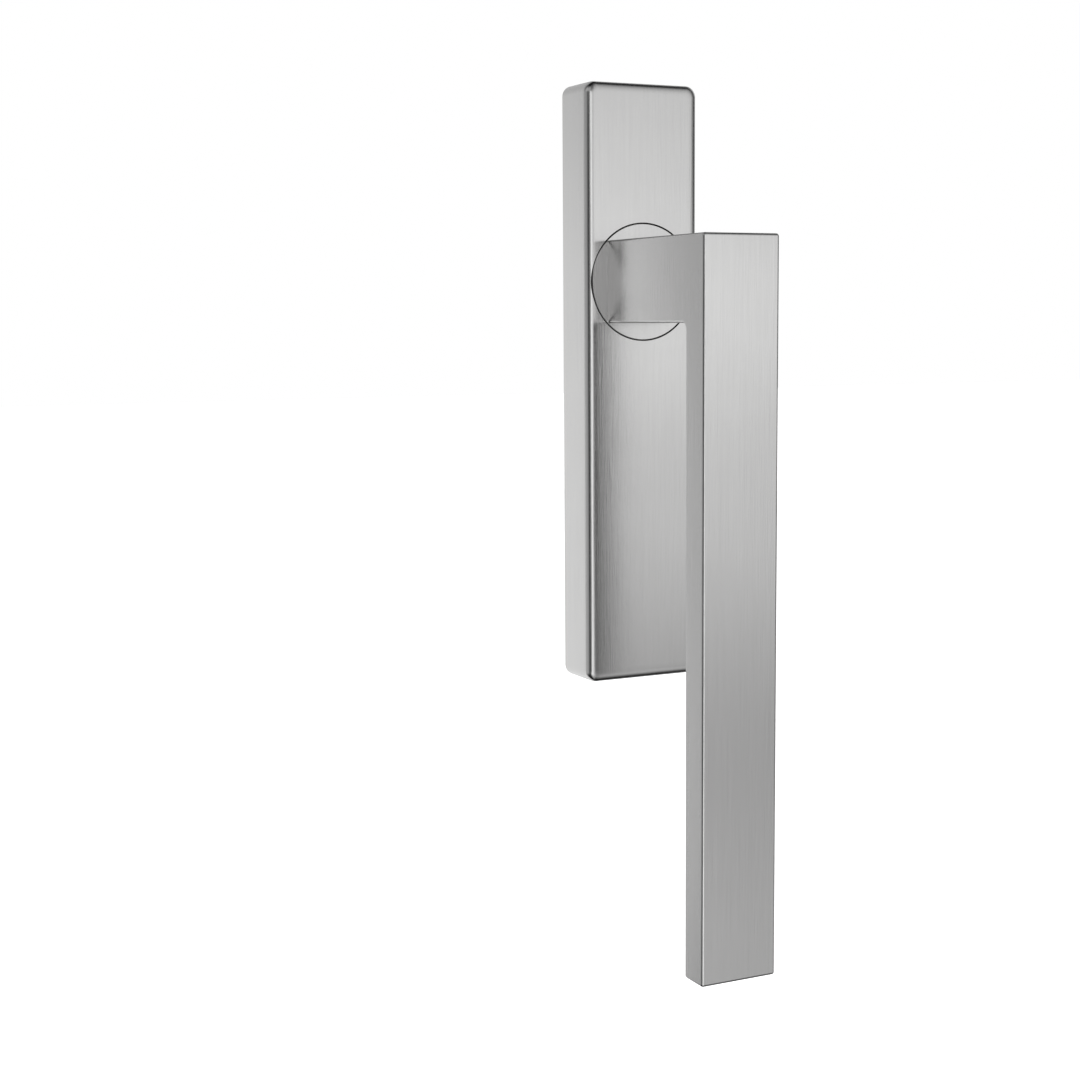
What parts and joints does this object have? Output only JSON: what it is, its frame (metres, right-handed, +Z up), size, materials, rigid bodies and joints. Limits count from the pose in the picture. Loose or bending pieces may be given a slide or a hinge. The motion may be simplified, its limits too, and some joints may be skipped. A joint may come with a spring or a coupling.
{
  "type": "sliding door handle",
  "caption": "Lever handle for a lift-and-slide door: a flat bar grip on a square neck turns half a circle on a round disc set flush in an oblong cover plate, driving a square spindle.",
  "frame": {"origin": "where the spindle axis meets the door's face, midway between the two lugs", "axes": "+Z up the door, +Y into the door along the spindle, so the grip stands out towards -Y"},
  "size_m": [0.046, 0.1181, 0.316],
  "materials": {
    "brushed_stainless": "vertical brushed grain",
    "plated_steel": "bright zinc plate",
    "spring_steel": "plain spring steel",
    "die_cast_aluminium": "as cast, fine blasted",
    "acetal": "turned natural white"
  },
  "bodies": {
    "plate": {"cover_plate": "brushed_stainless", "base_plate": "die_cast_aluminium", "bearing_bush": "acetal", "shim_washer": "spring_steel", "cover_clips": "spring_steel", "detent_spring_upper": "spring_steel", "detent_spring_lower": "spring_steel", "fixing_screws": "plated_steel"},
    "handle": {"lever": "brushed_stainless", "rotor_disc": "brushed_stainless", "neck_screws": "plated_steel", "spindle": "plated_steel", "spindle_pin": "spring_steel", "stop_pin": "spring_steel", "retaining_ring": "spring_steel"},
    "upper_pin": {"detent_pin_upper": "spring_steel"},
    "lower_pin": {"detent_pin_lower": "spring_steel"}
  },
  "joints": [
    {"name": "handle_turn", "type": "hinge", "parent": "plate", "child": "handle", "pos_m": [0, 0, 0], "axis": [0, 1, 0], "range_deg": [0, 180]},
    {"name": "upper_detent", "type": "slide", "parent": "plate", "child": "upper_pin", "axis": [0, 0, -1], "range_m": [0, 0.00075], "stiffness_N_per_m": 40, "springref_m": 0.00075, "deforming": ["detent_spring_upper"]},
    {"name": "lower_detent", "type": "slide", "parent": "plate", "child": "lower_pin", "axis": [0, 0, 1], "range_m": [0, 0.00075], "stiffness_N_per_m": 40, "springref_m": 0.00075, "deforming": ["detent_spring_lower"]}
  ]
}
